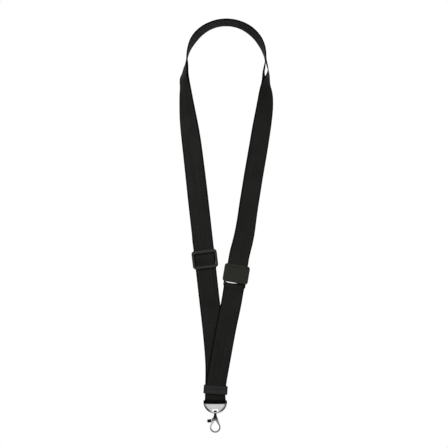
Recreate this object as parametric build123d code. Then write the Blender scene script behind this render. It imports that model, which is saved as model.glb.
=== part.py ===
from build123d import *
import math
import os

# A neck lanyard hanging as it is worn. Millimetres, +Z up, +X to the wearer's left as seen
# from the front, -Y towards the viewer. The origin is the inner face of the webbing at the
# top of the neck arch.

# Webbing: one continuous strap, doubled over the neck.
WEB_WIDTH = 25.0
WEB_THICK = 0.7
LAYER_GAP = 0.1
LAYER_OFFSET = (WEB_THICK + LAYER_GAP) / 2
ARCH_RADIUS = 47.5
ARCH_MIDDLE = ARCH_RADIUS + WEB_THICK + LAYER_GAP / 2
ARCH_STEPS = 24
LEG_STEP = 9.0
FOLD_STEPS = 8

# Slider (tri-glide) on the left leg.
SLIDER_HEIGHT = -288.0
SLIDER_TURN = -7.0
SLIDER_SIZE = (31.0, 22.6)
SLIDER_CORNER = 4.0
SLIDER_SLOT = 25.5
SLIDER_BAR = 3.4
SLIDER_FRONT = -2.3
SLIDER_BAR_BACK = -0.5
SLIDER_BACK = 2.75
CENTRE_BAR = (7.2, 1.5)
SLIDER_SEWN_TOP = 28.0

# Breakaway clip on the right leg: a plug that pulls up out of a receptacle.
CLIP_CENTRE = (12.2, -305.7)
CLIP_TURN = 9.5
CLIP_WIDTH = 31.0
CLIP_CORNER = 3.2
CLIP_TOP = 11.0
CLIP_SEAM = 7.8
CLIP_BOTTOM = -11.0
CLIP_FRONT = -3.9
CLIP_BACK = 3.2
CLIP_SLOT = 26.0
CLIP_WALL = 1.1
CLIP_MOUTH = 2.6
RUN_GAP = 0.25
WEB_BAR = (2.4, 1.2)
PLUG_BAR_HEIGHT = 8.0
RECEPTACLE_BAR_HEIGHT = -14.5
RECEPTACLE_FOOT = -16.0
RECEPTACLE_LOOP_WIDTH = 27.2
RAIL_CORNER = 0.5
RAIL_GAP = 0.2
PLUG_LOOP_TOP = 20.0
RECEPTACLE_LOOP_END = -31.0
RECEPTACLE_SEWN_END = -29.0
SECTION_GAP = 0.4

# Keeper band round both legs, just above the hook base.
KEEPER_CENTRE = (-13.0, -447.2)
KEEPER_TURN = 4.0
KEEPER_OUTSIDE = (29.3, 4.2)
KEEPER_HEIGHT = 10.1
KEEPER_WALL = 0.8

# Hook base, swivel and hook, all on one vertical axis.
HOOK_X = -13.4
BAR_HEIGHT = -461.4
BAR_RADIUS = 1.2
FOLD_SLACK = 0.35
BASE_HALF_WIDTH = 14.4
BASE_DROP = 13.6
BASE_TOP = -462.4
BASE_THICK = 4.2
BASE_DOME = 130.0
BASE_EDGE = 0.9
BASE_SHOULDER = 2.2
BASE_SLOT = 25.8
BASE_SLOT_FLOOR = 2.45
WINDOW = (7.3, 3.6)
LIP = 2.0
POST_RADIUS = 1.0
POST_CLEARANCE = 0.05
POST_HEAD = (1.9, 1.2)
WASHER = (1.7, 0.35)

NECK_TOP = -476.6
NECK_ROOT = -480.8
NECK_RADII = (2.3, 1.4)
NECK_SHOULDER = 1.5
RING_HEIGHT = -493.0
RING_RADIUS = 6.5
OPENING_RADIUS = 4.8
OPENING_TOP = -485.8
OPENING_TOP_RADIUS = 1.0
HOOK_THICK = 3.0
PIVOT = (-2.6, -483.6)
PIN_RADIUS = 0.5
PIN_CLEARANCE = 0.05
LUG_RADIUS = 1.8
GATE_BOSS = 1.35
GATE_THICK = 1.8
GATE_REACH = 10.6
GATE_CLEARANCE = 0.2
GATE_TOP = -484.6
HOOK_EDGE = 0.75
GATE_EDGE = 0.45
SWING_RADIUS = 2.7
KNOB_CENTRE = (-7.2, -485.1)
KNOB_SIZE = (5.0, 3.5)
KNOB_TURN = 8.0

# Routes of the middle of the two layers (X, Y, Z), chosen by hand. Each leg leaves the arch
# edge-on, and turns to face the front on the way down.
LEFT_UPPER = [(-50.4, 0, -65), (-48.9, 0, -96), (-44.2, 0.1, -131)]
LEFT_STRAIGHT_TOP = (-38.2, LAYER_OFFSET, -180)
LEFT_STRAIGHT_END = (-21.8, LAYER_OFFSET, -326)
LEFT_LOWER = [(-20.7, 0.4, -336), (-17.6, 0.45, -363), (-14.4, 0.45, -395), (-12.9, 0.45, -423)]
LEGS_JOIN_DEPTH = 0.45
RIGHT_UPPER = [(48.5, 0, -71), (47.2, 0, -100), (42.5, 0, -131), (34.7, 0, -180),
               (27.3, 0, -224), (20.1, 0, -267)]
RIGHT_LOWER = [(1.4, -0.45, -364), (-4.5, -0.45, -395), (-9.4, -0.45, -422)]
LEGS_JOIN = (HOOK_X, -454.5)

# How far the webbing has turned to face the front, in degrees, by height.
LEFT_ARCH_TWIST = [(0, -3), (-4, -5), (-12, -8), (-21, -8), (-28, -3), (-36, 1), (-47.5, 5)]
RIGHT_ARCH_TWIST = [(0, -3), (-4, -6), (-12, -8), (-22, -8), (-30, -5), (-40, 1), (-47.5, 3)]
LEFT_TWIST = [(-47.5, 5), (-53, 11), (-60, 16), (-70, 26), (-85, 37), (-100, 46), (-115, 56),
              (-130, 65), (-145, 71), (-190, 80), (-220, 90)]
RIGHT_TWIST = [(-47.5, 3), (-58, 7), (-66, 13), (-73, 25), (-85, 43), (-100, 54), (-115, 61),
               (-130, 66), (-160, 69), (-240, 70), (-285, 90)]

# Heights where the webbing is split between bodies.
LEFT_FIXED_END = -193.0
RIGHT_FIXED_END = -250.0

STITCH = (0.6, 0.2)

FRONT = Vector(0, -1, 0)
ALONG_X = Vector(1, 0, 0)


def between(table, height):
    """Value at a height, from (height, value) pairs listed downwards."""
    for (top, first), (bottom, last) in zip(table, table[1:]):
        if height >= bottom:
            share = min(max((top - height) / (top - bottom), 0), 1)
            return first + share * (last - first)
    return table[-1][1]


def strip(stations, offset=0.0):
    """Flat webbing through (centre, across, normal) stations, moved along the normal by offset."""
    sections = []
    for centre, across, normal in stations:
        middle = centre + normal * offset
        side = across * (WEB_WIDTH / 2)
        lift = normal * (WEB_THICK / 2)
        corners = [middle - side - lift, middle + side - lift, middle + side + lift, middle - side + lift]
        sections.append(Wire.make_polygon(corners, close=True))
    return Solid.make_loft(sections, ruled=True)


def turned(inward, degrees):
    """The webbing's across and normal directions, turned from edge-on towards the front."""
    turn = math.radians(degrees)
    across = FRONT * math.cos(turn) + inward * math.sin(turn)
    normal = FRONT * math.sin(turn) - inward * math.cos(turn)
    return across, normal


def station(curve, share, inward_sign, twist):
    """A station on a leg: inward_sign is +1 where the inside of the loop is towards +X."""
    centre = curve.position_at(share)
    tangent = curve.tangent_at(share)
    inward = Vector(-tangent.Z, 0, tangent.X).normalized() * inward_sign
    return centre, *turned(inward, between(twist, centre.Z))


def share_at(curve, height):
    """Where along a descending curve a height is reached, from 0 to 1."""
    low, high = 0.0, 1.0
    for _ in range(40):
        middle = (low + high) / 2
        if curve.position_at(middle).Z > height:
            low = middle
        else:
            high = middle
    return (low + high) / 2


def leg_stations(curve, top, bottom, inward_sign, twist):
    """Stations between two heights, about LEG_STEP apart."""
    first = share_at(curve, top)
    last = share_at(curve, bottom)
    steps = max(1, round((top - bottom) / LEG_STEP))
    shares = [first + (last - first) * k / steps for k in range(steps + 1)]
    return [station(curve, share, inward_sign, twist) for share in shares]


def arch_stations():
    """Half a circle over the neck, from the left leg to the right leg, its front edge spread wider."""
    stations = []
    for k in range(ARCH_STEPS + 1):
        angle = math.pi * (1 - k / ARCH_STEPS)
        outward = Vector(math.cos(angle), 0, math.sin(angle))
        centre = Vector(0, 0, -ARCH_RADIUS) + outward * ARCH_MIDDLE
        twist = LEFT_ARCH_TWIST if centre.X < 0 else RIGHT_ARCH_TWIST
        stations.append((centre, *turned(outward * -1, between(twist, centre.Z))))
    return stations


def fold(points):
    """Webbing folded along (Y, Z) points, its width along X."""
    stations = []
    for k, (y, z) in enumerate(points):
        before = points[max(k - 1, 0)]
        after = points[min(k + 1, len(points) - 1)]
        along = Vector(0, after[0] - before[0], after[1] - before[1]).normalized()
        stations.append((Vector(0, y, z), ALONG_X, along.cross(ALONG_X)))
    return strip(stations)


def bend(centre, radius, start, end):
    """Points of an arc in the (Y, Z) plane, by angle from +Y."""
    turns = [math.radians(start + (end - start) * k / FOLD_STEPS) for k in range(FOLD_STEPS + 1)]
    return [(centre[0] + radius * math.cos(t), centre[1] + radius * math.sin(t)) for t in turns]


def block(x_size, y_range, z_range, x=0.0):
    """A box centred on x, between two depths and two heights."""
    size = (x_size, y_range[1] - y_range[0], z_range[1] - z_range[0])
    return Pos(x, sum(y_range) / 2, sum(z_range) / 2) * Box(*size)


def plate(sketch, y_range):
    """A sketch drawn as (X, Z), made solid between two depths."""
    upright = Plane.XZ.offset(-y_range[1]) * sketch
    return extrude(upright, y_range[1] - y_range[0])


def box_stitch(width, z_range, face, outward):
    """A sewn box with a cross in it, lying on a face at depth y."""
    height = z_range[1] - z_range[0]
    middle = sum(z_range) / 2
    lines = Rectangle(width, height) - Rectangle(width - 2 * STITCH[0], height - 2 * STITCH[0])
    diagonal = math.hypot(width - STITCH[0], height - STITCH[0]) - STITCH[0]
    slope = math.degrees(math.atan2(height, width))
    for turn in (slope, -slope):
        lines += Rot(0, 0, turn) * Rectangle(diagonal, STITCH[0])
    y_range = sorted((face, face + outward * STITCH[1]))
    return plate(Pos(0, middle) * lines, y_range)


def soften(part, radius, depth_group):
    """Round the edges lying in the front (0) or back (-1) face."""
    return fillet(part.edges().group_by(Axis.Y)[depth_group], radius)


# ---------------------------------------------------------------- webbing

def left_curves():
    """Left leg: from the arch, down a straight stretch, to where the legs join."""
    start = (-ARCH_MIDDLE, 0, -ARCH_RADIUS)
    slope = Vector(*LEFT_STRAIGHT_END) - Vector(*LEFT_STRAIGHT_TOP)
    upper = Spline([start, *LEFT_UPPER, LEFT_STRAIGHT_TOP], tangents=[(0, 0, -1), slope])
    straight = Line(LEFT_STRAIGHT_TOP, LEFT_STRAIGHT_END)
    through = Vector(*LEFT_STRAIGHT_END) + FRONT * LAYER_OFFSET
    end = (LEGS_JOIN[0], LEGS_JOIN_DEPTH, LEGS_JOIN[1])
    lower = Spline([through, *LEFT_LOWER, end], tangents=[slope, (0, 0, -1)])
    return upper, straight, lower


def right_curves():
    """Right leg: from the arch to the plug's loop, and from the receptacle's loop to the join."""
    along = in_clip(0, 0, -1) - in_clip(0, 0, 0)
    start = (ARCH_MIDDLE, 0, -ARCH_RADIUS)
    upper = Spline([start, *RIGHT_UPPER, in_clip(0, 0, PLUG_LOOP_TOP)], tangents=[(0, 0, -1), along])
    end = (LEGS_JOIN[0], -LEGS_JOIN_DEPTH, LEGS_JOIN[1])
    low_start = in_clip(0, -LAYER_OFFSET, RECEPTACLE_LOOP_END)
    lower = Spline([low_start, *RIGHT_LOWER, end], tangents=[along, (0, 0, -1)])
    return upper, lower


def webbing():
    upper, straight, lower = left_curves()
    right_upper, right_lower = right_curves()
    arch = arch_stations()
    leg_top = -ARCH_RADIUS
    bend_end = LEFT_STRAIGHT_TOP[2]
    straight_end = LEFT_STRAIGHT_END[2]
    sewn_top = in_slider(0, 0, SLIDER_SEWN_TOP + SECTION_GAP).Z
    left_fixed = leg_stations(upper, leg_top, bend_end, 1, LEFT_TWIST)
    left_fixed += leg_stations(straight, bend_end, LEFT_FIXED_END, 1, LEFT_TWIST)[1:]
    left_moving = leg_stations(straight, LEFT_FIXED_END, sewn_top, 1, LEFT_TWIST)
    left_through = left_moving + leg_stations(straight, sewn_top, straight_end, 1, LEFT_TWIST)[1:]
    left_lower = leg_stations(lower, straight_end, LEGS_JOIN[1], 1, LEFT_TWIST)
    right_fixed = leg_stations(right_upper, leg_top, RIGHT_FIXED_END, -1, RIGHT_TWIST)
    loop_top = in_clip(0, 0, PLUG_LOOP_TOP + SECTION_GAP).Z
    right_moving = leg_stations(right_upper, RIGHT_FIXED_END, loop_top, -1, RIGHT_TWIST)
    loop_end = in_clip(0, 0, RECEPTACLE_LOOP_END).Z
    right_low = leg_stations(right_lower, loop_end, LEGS_JOIN[1], -1, RIGHT_TWIST)
    return {
        "webbing_arch_outer": strip(arch, LAYER_OFFSET),
        "webbing_arch_inner": strip(arch, -LAYER_OFFSET),
        "webbing_left_leg_outer": strip(left_fixed, LAYER_OFFSET),
        "webbing_left_leg_inner": strip(left_fixed, -LAYER_OFFSET),
        "webbing_left_adjust": strip(left_moving, -LAYER_OFFSET),
        "webbing_left_through": strip(left_through, LAYER_OFFSET),
        "webbing_left_lower": strip(left_lower),
        "webbing_right_leg_outer": strip(right_fixed, LAYER_OFFSET),
        "webbing_right_leg_inner": strip(right_fixed, -LAYER_OFFSET),
        "webbing_right_release_outer": strip(right_moving, LAYER_OFFSET),
        "webbing_right_release_inner": strip(right_moving, -LAYER_OFFSET),
        "webbing_right_lower": strip(right_low),
        "webbing_hook_fold": hook_fold(),
    }


def hook_fold():
    """The strap turns round the hook base's bar and goes back up."""
    reach = BAR_RADIUS + FOLD_SLACK + WEB_THICK / 2
    side, join = LEGS_JOIN_DEPTH, LEGS_JOIN[1]
    above_bar = BAR_HEIGHT + 1.2
    points = [(side, join), (side, join - 1), (reach, above_bar), *bend((0, BAR_HEIGHT), reach, 0, -180)]
    points += [(-reach, above_bar), (-side, join - 1), (-side, join)]
    return Pos(HOOK_X, 0, 0) * fold(points)


# ---------------------------------------------------------------- slider

def slider_place():
    run = Line(LEFT_STRAIGHT_TOP, LEFT_STRAIGHT_END)
    centre = run.position_at(share_at(run, SLIDER_HEIGHT))
    return Pos(centre.X, 0, centre.Z) * Rot(0, SLIDER_TURN, 0)


def in_slider(x, y, z):
    return (slider_place() * Pos(x, y, z)).position


def slider_frame():
    """Two front bars and a centre bar set further back, held by two side rails."""
    width, height = SLIDER_SIZE
    outline = RectangleRounded(width, height, SLIDER_CORNER)
    body = plate(outline, (SLIDER_FRONT, SLIDER_BACK))
    body = soften(soften(body, 0.9, 0), 0.9, -1)
    bars_inside = height / 2 - SLIDER_BAR
    body -= block(SLIDER_SLOT, (SLIDER_FRONT - 1, SLIDER_BACK + 1), (-bars_inside, bars_inside))
    body -= block(SLIDER_SLOT, (SLIDER_BAR_BACK, SLIDER_BACK + 1), (-height, height))
    bar_height, bar_thick = CENTRE_BAR
    bar = block(SLIDER_SLOT + 1, (SLIDER_BACK - bar_thick, SLIDER_BACK), (-bar_height / 2, bar_height / 2))
    bar = fillet(bar.edges().filter_by(Axis.X), bar_thick * 0.45)
    return slider_place() * (body + bar)


def slider_loop():
    """The strap's sewn end: down, round the centre bar and back up behind."""
    bar_height, bar_thick = CENTRE_BAR
    depth = SLIDER_BACK - bar_thick / 2
    reach = bar_thick / 2 + LAYER_GAP + WEB_THICK / 2
    low = (depth, -bar_height / 2 + bar_thick / 2)
    sewn = 2 * LAYER_OFFSET + WEB_THICK + LAYER_GAP
    points = [(depth - reach, SLIDER_SEWN_TOP), *bend(low, reach, 180, 360)]
    points += [(depth + reach, bar_height / 2), (sewn, 11.0), (sewn, SLIDER_SEWN_TOP - 1)]
    return slider_place() * fold(points)


def slider_stitch():
    face = 2 * LAYER_OFFSET + WEB_THICK * 1.5 + LAYER_GAP
    return slider_place() * box_stitch(21.0, (12.5, 26.0), face, 1)


# ---------------------------------------------------------------- breakaway clip

def clip_place():
    return Pos(CLIP_CENTRE[0], 0, CLIP_CENTRE[1]) * Rot(0, CLIP_TURN, 0)


def in_clip(x, y, z):
    return (clip_place() * Pos(x, y, z)).position


def clip_outline(bottom, top):
    """The clip's front outline between two heights, with rounded outer corners."""
    height = top - bottom
    return Pos(0, (bottom + top) / 2) * RectangleRounded(CLIP_WIDTH, height, CLIP_CORNER)


def web_bar(height, length):
    """A flat bar for the webbing, with rounded edges."""
    bar_height, bar_thick = WEB_BAR
    z_range = (height - bar_height / 2, height + bar_height / 2)
    bar = block(length, (-bar_thick / 2, bar_thick / 2), z_range)
    return fillet(bar.edges().filter_by(Axis.X), bar_thick * 0.45)


def breakaway_receptacle():
    """A flat box open at the top, with a narrower loop for the webbing below it."""
    outline = clip_outline(CLIP_BOTTOM, CLIP_TOP) - Pos(0, CLIP_SEAM + 5) * Rectangle(CLIP_WIDTH + 2, 10)
    body = plate(outline, (CLIP_FRONT, CLIP_BACK))
    for face in (0, -1):
        rim = body.edges().group_by(Axis.Y)[face]
        body = fillet(rim.filter_by_position(Axis.Z, CLIP_BOTTOM - 1, CLIP_SEAM - 0.5), 0.8)
    front_back = CLIP_FRONT + CLIP_WALL
    body -= block(CLIP_SLOT, (front_back, CLIP_BACK - CLIP_WALL), (CLIP_BOTTOM + 1.5, CLIP_TOP))
    body -= block(CLIP_WIDTH + 2, (front_back, CLIP_BACK + 1), (CLIP_MOUTH, CLIP_TOP))
    loop_height = CLIP_BOTTOM - RECEPTACLE_FOOT + 1.4
    loop = RectangleRounded(RECEPTACLE_LOOP_WIDTH, loop_height, RAIL_CORNER)
    loop = Pos(0, RECEPTACLE_FOOT + loop_height / 2) * loop
    loop -= Pos(0, CLIP_BOTTOM - 5) * Rectangle(WEB_WIDTH + 2 * RAIL_GAP, 10)
    half = WEB_BAR[1] / 2 + 0.5
    rails = plate(loop, (-half, half))
    return clip_place() * (body + rails + web_bar(RECEPTACLE_BAR_HEIGHT, WEB_WIDTH + 1.2))


def breakaway_plug():
    """A head with a bar for the webbing, a tongue and two sprung arms below it."""
    head_front = CLIP_FRONT + CLIP_WALL + RUN_GAP
    head_foot = CLIP_MOUTH + RUN_GAP
    outline = clip_outline(head_foot - 8, CLIP_TOP) - Pos(0, head_foot - 6) * Rectangle(CLIP_WIDTH + 2, 12)
    head = plate(outline, (head_front, CLIP_BACK))
    head = soften(head, 0.6, -1)
    lip = clip_outline(CLIP_TOP - 8, CLIP_TOP)
    lip -= Pos(0, CLIP_SEAM + RUN_GAP - 5) * Rectangle(CLIP_WIDTH + 2, 10)
    head += plate(lip, (CLIP_FRONT, head_front))
    space_floor = PLUG_BAR_HEIGHT - WEB_BAR[0] / 2 - 1.4
    front_wall = head_front + 0.75
    head -= block(CLIP_SLOT, (front_wall, CLIP_BACK + 1), (space_floor, CLIP_TOP + 1))
    head += web_bar(PLUG_BAR_HEIGHT, CLIP_SLOT + 1)
    depth = (head_front + 0.6, CLIP_BACK - CLIP_WALL - RUN_GAP - 0.3)
    foot = CLIP_BOTTOM + 2.2
    head += block(9.0, depth, (foot, head_foot))
    for side in (-1, 1):
        arm = block(2.8, depth, (foot + 1, head_foot), side * 10.2)
        barb = Pos(side * 11.2, foot + 3.2) * Circle(1.5)
        head += arm + plate(barb, depth)
    return clip_place() * head


def plug_loop():
    """Both layers come down to the plug and are one fold round its bar."""
    reach = WEB_BAR[1] / 2 + LAYER_GAP + WEB_THICK / 2
    low = (0, PLUG_BAR_HEIGHT - WEB_BAR[0] / 2 + WEB_BAR[1] / 2)
    straight = PLUG_LOOP_TOP - 2
    points = [(-LAYER_OFFSET, PLUG_LOOP_TOP), (-LAYER_OFFSET, straight), (-reach, CLIP_TOP + 1)]
    points += [*bend(low, reach, 180, 360), (reach, CLIP_TOP + 1)]
    points += [(LAYER_OFFSET, straight), (LAYER_OFFSET, PLUG_LOOP_TOP)]
    return clip_place() * fold(points)


def receptacle_loop():
    """The strap's other end: up, over the receptacle's bar and down behind, sewn."""
    reach = WEB_BAR[1] / 2 + LAYER_GAP + WEB_THICK / 2
    high = (0, RECEPTACLE_BAR_HEIGHT + WEB_BAR[0] / 2 - WEB_BAR[1] / 2)
    over_bar = bend(high, reach, 180, 0)
    points = [(-LAYER_OFFSET, RECEPTACLE_LOOP_END), (-LAYER_OFFSET, -20.5), (-reach, -16.5), *over_bar]
    points += [(reach, -16.5), (LAYER_OFFSET, -20.5), (LAYER_OFFSET, RECEPTACLE_SEWN_END)]
    return clip_place() * fold(points)


def receptacle_stitch():
    face = -LAYER_OFFSET - WEB_THICK / 2
    return clip_place() * box_stitch(20.0, (-30.0, -21.5), face, -1)


# ---------------------------------------------------------------- keeper

def keeper_place():
    return Pos(KEEPER_CENTRE[0], 0, KEEPER_CENTRE[1]) * Rot(0, KEEPER_TURN, 0)


def keeper_band():
    """A flat closed band."""
    width, depth = KEEPER_OUTSIDE
    inside = (width - 2 * KEEPER_WALL, depth - 2 * KEEPER_WALL)
    ring = RectangleRounded(width, depth, depth * 0.45)
    ring -= RectangleRounded(*inside, inside[1] * 0.45)
    return keeper_place() * (Pos(0, 0, -KEEPER_HEIGHT / 2) * extrude(ring, KEEPER_HEIGHT))


def keeper_overlap():
    """Where the band's end is sewn over its start, at the back."""
    back = KEEPER_OUTSIDE[1] / 2
    half = KEEPER_HEIGHT / 2 - 0.4
    return keeper_place() * block(9.0, (back, back + 0.6), (-half, half))


# ---------------------------------------------------------------- hook base and swivel

def half_moon_base():
    """A domed half disc hung on a round bar, with a window for the swivel's head."""
    above = Pos(0, BASE_TOP + 20) * Rectangle(40, 40)
    shoulders = Pos(0, BASE_TOP + BASE_SHOULDER / 2) * Rectangle(2 * BASE_HALF_WIDTH, BASE_SHOULDER)
    outline = Pos(0, BASE_TOP) * Ellipse(BASE_HALF_WIDTH, BASE_DROP) - above + shoulders
    half = BASE_THICK / 2
    body = plate(outline, (-half, half))
    for side in (-1, 1):
        body &= Pos(0, side * (BASE_DOME - half), BASE_TOP - BASE_DROP / 2) * Sphere(BASE_DOME)
    rims = body.edges().filter_by(lambda edge: abs(edge.center().Y) > half / 2)
    body = fillet(rims, BASE_EDGE)
    slot = (BAR_HEIGHT - BASE_SLOT_FLOOR, BAR_HEIGHT + 10)
    body -= block(BASE_SLOT, (-half - 1, half + 1), slot)
    bottom = BASE_TOP - BASE_DROP
    window = Pos(0, bottom + LIP + WINDOW[1] / 2) * RectangleRounded(*WINDOW, 1.2)
    body -= plate(window, (-half - 1, half + 1))
    body -= Pos(0, 0, bottom) * Cylinder(POST_RADIUS + POST_CLEARANCE, 3 * LIP)
    bar = Pos(0, 0, BAR_HEIGHT) * Rot(0, 90, 0) * Cylinder(BAR_RADIUS, BASE_SLOT + 1.2)
    return Pos(HOOK_X, 0, 0) * (body + bar)


def swivel_post():
    """A riveted post: its head turns in the window, its foot is fixed in the hook."""
    head_radius, head_height = POST_HEAD
    head_floor = BASE_TOP - BASE_DROP + LIP + 0.15
    foot = NECK_TOP - 2.5
    shank = Pos(0, 0, (head_floor + foot) / 2) * Cylinder(POST_RADIUS, head_floor - foot)
    head = Pos(0, 0, head_floor + head_height / 2) * Cylinder(head_radius, head_height)
    head = fillet(head.edges().group_by(Axis.Z)[-1], 0.5)
    return Pos(HOOK_X, 0, 0) * (shank + head)


def swivel_washer():
    radius, height = WASHER
    ring = Cylinder(radius, height) - Cylinder(POST_RADIUS, height + 1)
    return Pos(HOOK_X, 0, NECK_TOP + height / 2) * ring


# ---------------------------------------------------------------- hook

def teardrop(low, low_radius, high, high_radius):
    """Two circles on the hook's axis, joined by their common tangents."""
    rounds = (Pos(0, low) * Circle(low_radius)).edges() + (Pos(0, high) * Circle(high_radius)).edges()
    return make_hull(rounds)


def ring_outline():
    """The closed hook, before the gate is parted from it."""
    outside = teardrop(RING_HEIGHT, RING_RADIUS, NECK_TOP - NECK_RADII[1], NECK_RADII[1])
    inside = teardrop(RING_HEIGHT + 0.1, OPENING_RADIUS, OPENING_TOP, OPENING_TOP_RADIUS)
    above = Pos(0, NECK_TOP + 5) * Rectangle(10, 10)
    return outside - above - inside


def gate_zone(reach, edge, top):
    """The left side of the ring, within reach of the pivot."""
    side = Pos(edge - 10, top - 10) * Rectangle(20, 20)
    return (Pos(*PIVOT) * Circle(reach)) & side


def pivot_hole(radius):
    return Pos(PIVOT[0], 0, PIVOT[1]) * Rot(90, 0, 0) * Cylinder(radius, HOOK_THICK + 1)


def hook_body():
    half = HOOK_THICK / 2
    lug = Pos(*PIVOT) * Circle(LUG_RADIUS)
    body = plate(ring_outline() + lug, (-half, half))
    body = soften(soften(body, HOOK_EDGE, 0), HOOK_EDGE, -1)
    body -= block(4 * NECK_RADII[0], (-half - 1, half + 1), (NECK_ROOT, NECK_TOP + 1))
    body += Pos(0, 0, (NECK_ROOT + NECK_TOP) / 2) * Cone(*NECK_RADII, NECK_TOP - NECK_ROOT)
    body += Pos(0, 0, NECK_ROOT - NECK_SHOULDER / 2) * Cone(half, NECK_RADII[0], NECK_SHOULDER)
    parted = gate_zone(GATE_REACH + GATE_CLEARANCE, -0.6, GATE_TOP) - lug
    body -= plate(parted, (-half - 1, half + 1))
    swing = (GATE_THICK + GATE_CLEARANCE) / 2
    body -= plate(Pos(*PIVOT) * Circle(SWING_RADIUS), (-swing, swing))
    body -= pivot_hole(PIN_RADIUS)
    body -= Pos(0, 0, NECK_TOP) * Cylinder(POST_RADIUS, 5.0)
    return Pos(HOOK_X, 0, 0) * body


def knob_outline():
    return Pos(*KNOB_CENTRE) * Rot(0, 0, KNOB_TURN) * RectangleRounded(*KNOB_SIZE, 0.8)


def gate_lever():
    """The sprung gate: the parted side of the ring, turning on the pin."""
    half = GATE_THICK / 2
    ring = soften(soften(plate(ring_outline(), (-half, half)), GATE_EDGE, 0), GATE_EDGE, -1)
    arm = ring & plate(gate_zone(GATE_REACH, -0.9, GATE_TOP - 0.3), (-half, half))
    boss = Pos(*PIVOT) * Circle(GATE_BOSS)
    link = Pos(PIVOT[0], PIVOT[1] - 1.2) * Rectangle(2 * GATE_BOSS - 0.3, 2.4)
    tab_length = PIVOT[0] - KNOB_CENTRE[0]
    tab = Pos((KNOB_CENTRE[0] + PIVOT[0]) / 2, KNOB_CENTRE[1]) * Rectangle(tab_length, 1.2)
    body = arm + plate(boss + link + tab, (-half, half))
    body -= plate(knob_outline(), (-half, half))
    body -= pivot_hole(PIN_RADIUS + PIN_CLEARANCE)
    return Pos(HOOK_X, 0, 0) * body


def gate_knob():
    """A thumb piece on the end of the gate's tab."""
    half = HOOK_THICK / 2
    body = soften(soften(plate(knob_outline(), (-half, half)), 0.4, 0), 0.4, -1)
    return Pos(HOOK_X, 0, 0) * body


def gate_pin():
    length = HOOK_THICK + 0.2
    return Pos(HOOK_X + PIVOT[0], 0, PIVOT[1]) * Rot(90, 0, 0) * Cylinder(PIN_RADIUS, length)


def gate_spring():
    """A leaf bent over the gate's boss, inside the hook's slot."""
    inner = GATE_BOSS + 0.15
    leaf = Circle(inner + 0.3) - Circle(inner) - Pos(0, -5 + 0.6) * Rectangle(10, 10)
    return Pos(HOOK_X, 0, 0) * plate(Pos(*PIVOT) * leaf, (-0.7, 0.7))


PARTS = {
    **webbing(),
    "slider_frame": slider_frame(),
    "webbing_slider_loop": slider_loop(),
    "slider_box_stitch": slider_stitch(),
    "breakaway_receptacle": breakaway_receptacle(),
    "webbing_receptacle_loop": receptacle_loop(),
    "receptacle_box_stitch": receptacle_stitch(),
    "breakaway_plug": breakaway_plug(),
    "webbing_plug_loop": plug_loop(),
    "keeper_band": keeper_band(),
    "keeper_overlap": keeper_overlap(),
    "half_moon_base": half_moon_base(),
    "swivel_post": swivel_post(),
    "swivel_washer": swivel_washer(),
    "hook_body": hook_body(),
    "gate_lever": gate_lever(),
    "gate_knob": gate_knob(),
    "gate_pin": gate_pin(),
    "gate_spring": gate_spring(),
}

os.makedirs("parts", exist_ok=True)
for name, solid in PARTS.items():
    export_step(solid, f"parts/{name}.step")
    print(name, round(solid.volume, 2))
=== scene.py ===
"""A neck lanyard, hanging: the CAD frame with its webbing, stitching, plastics and chrome."""

import math

import bmesh
import bpy
import numpy as np
from mathutils import Matrix, Vector


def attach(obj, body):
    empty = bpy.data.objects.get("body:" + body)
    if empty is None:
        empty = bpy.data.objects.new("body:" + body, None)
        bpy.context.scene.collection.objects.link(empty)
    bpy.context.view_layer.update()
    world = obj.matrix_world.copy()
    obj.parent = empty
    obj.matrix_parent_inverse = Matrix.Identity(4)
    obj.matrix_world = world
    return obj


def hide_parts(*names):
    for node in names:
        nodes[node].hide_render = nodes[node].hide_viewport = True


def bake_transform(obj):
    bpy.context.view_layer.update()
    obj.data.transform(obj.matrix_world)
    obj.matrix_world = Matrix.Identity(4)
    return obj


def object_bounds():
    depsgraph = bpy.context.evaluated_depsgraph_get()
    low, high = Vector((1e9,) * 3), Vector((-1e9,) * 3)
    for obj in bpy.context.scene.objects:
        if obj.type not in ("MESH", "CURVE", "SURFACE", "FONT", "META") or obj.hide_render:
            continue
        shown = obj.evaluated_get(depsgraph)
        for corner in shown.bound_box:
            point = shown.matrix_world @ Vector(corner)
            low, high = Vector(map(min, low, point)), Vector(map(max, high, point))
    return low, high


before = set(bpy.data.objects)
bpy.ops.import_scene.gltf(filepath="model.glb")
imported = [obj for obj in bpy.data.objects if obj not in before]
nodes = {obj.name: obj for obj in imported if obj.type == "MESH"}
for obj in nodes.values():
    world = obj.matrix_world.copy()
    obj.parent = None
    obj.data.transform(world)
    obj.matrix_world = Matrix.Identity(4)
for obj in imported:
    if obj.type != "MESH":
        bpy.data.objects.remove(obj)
cad_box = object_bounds()

MM = 0.001

# The webbing, as in the CAD model.
WEB_WIDTH = 25.0 * MM
WEB_THICK = 0.7 * MM
LAYER_GAP = 0.1 * MM
LAYER_OFFSET = (WEB_THICK + LAYER_GAP) / 2
ARCH_RADIUS = 47.5 * MM
ARCH_MIDDLE = ARCH_RADIUS + WEB_THICK + LAYER_GAP / 2
STEP = 1.8 * MM
FOLD_STEP = 0.9 * MM
BEND_STEPS = 12
EDGE_STEPS = 4
FRONT = Vector((0, -1, 0))
ALONG_X = Vector((1, 0, 0))

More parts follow.
